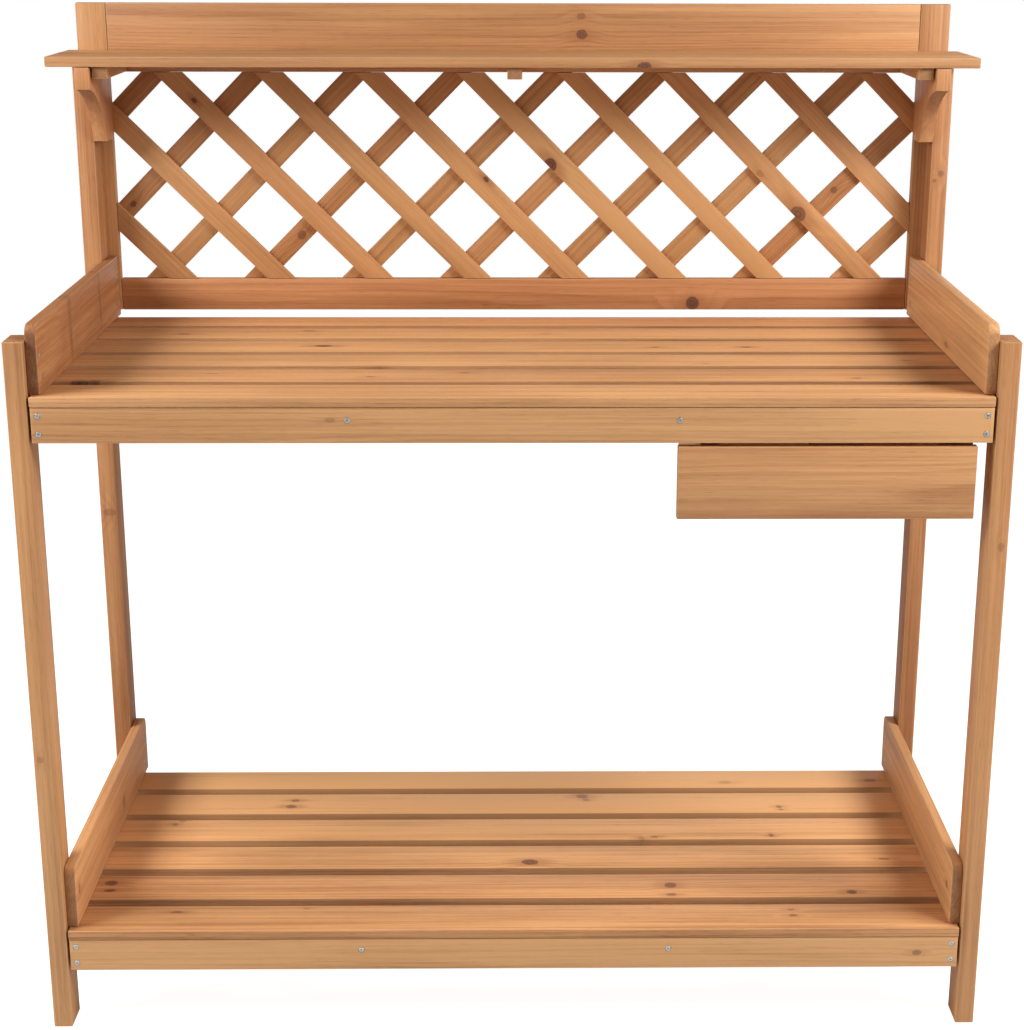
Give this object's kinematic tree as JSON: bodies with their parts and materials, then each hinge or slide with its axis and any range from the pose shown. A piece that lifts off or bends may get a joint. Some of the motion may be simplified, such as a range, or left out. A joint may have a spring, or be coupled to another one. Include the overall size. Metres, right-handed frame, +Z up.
{
  "type": "potting bench",
  "caption": "Free-standing slatted wooden potting bench with a hanging side drawer, a lower shelf, a lattice back and a small top shelf on brackets",
  "frame": {"origin": "middle of the footprint, on the ground", "axes": "+X to the right seen from the front, +Y to the back, +Z up"},
  "size_m": [1.146, 0.494, 1.1875],
  "materials": {
    "leg_wood": "oiled softwood, upright grain",
    "slat_wood": "oiled softwood, light",
    "rail_wood": "oiled softwood",
    "lattice_wood": "oiled softwood lath",
    "drawer_wood": "oiled softwood, wide grain",
    "screw_steel": "zinc plated"
  },
  "bodies": {
    "bench": {"apron_screw_left_bearer": "screw_steel", "apron_screw_left_lower": "screw_steel", "apron_screw_left_upper": "screw_steel", "apron_screw_right_bearer": "screw_steel", "apron_screw_right_lower": "screw_steel", "apron_screw_right_upper": "screw_steel", "back_bottom_rail": "rail_wood", "back_stile_left": "leg_wood", "back_stile_right": "leg_wood", "back_top_board": "rail_wood", "drawer_runner_left": "rail_wood", "drawer_runner_right": "rail_wood", "drawer_stop": "rail_wood", "front_leg_left": "leg_wood", "front_leg_right": "leg_wood", "lattice": "lattice_wood", "lower_bearer_left": "rail_wood", "lower_bearer_right": "rail_wood", "lower_front_apron": "rail_wood", "lower_rear_apron": "rail_wood", "lower_side_board_left": "slat_wood", "lower_side_board_right": "slat_wood", "lower_side_rail_left": "rail_wood", "lower_side_rail_right": "rail_wood", "lower_slat_1": "slat_wood", "lower_slat_2": "slat_wood", "lower_slat_3": "slat_wood", "lower_slat_4": "slat_wood", "lower_slat_5": "slat_wood", "lower_slat_6": "slat_wood", "rear_leg_left": "leg_wood", "rear_leg_right": "leg_wood", "shelf_back_board": "slat_wood", "shelf_bracket_left": "rail_wood", "shelf_bracket_right": "rail_wood", "shelf_cleat_left": "rail_wood", "shelf_cleat_middle": "rail_wood", "shelf_cleat_right": "rail_wood", "shelf_front_board": "slat_wood", "worktop_bearer_left": "rail_wood", "worktop_bearer_right": "rail_wood", "worktop_front_apron": "rail_wood", "worktop_rear_apron": "rail_wood", "worktop_side_board_left": "slat_wood", "worktop_side_board_right": "slat_wood", "worktop_side_rail_left": "rail_wood", "worktop_side_rail_right": "rail_wood", "worktop_slat_1": "slat_wood", "worktop_slat_2": "slat_wood", "worktop_slat_3": "slat_wood", "worktop_slat_4": "slat_wood", "worktop_slat_5": "slat_wood", "worktop_slat_6": "slat_wood"},
    "drawer": {"drawer_back": "drawer_wood", "drawer_floor": "drawer_wood", "drawer_front": "drawer_wood", "drawer_side_left": "drawer_wood", "drawer_side_right": "drawer_wood"}
  },
  "joints": [
    {"name": "drawer_slide", "type": "slide", "parent": "bench", "child": "drawer", "axis": [0, -1, 0], "range_m": [0, 0.25]}
  ]
}
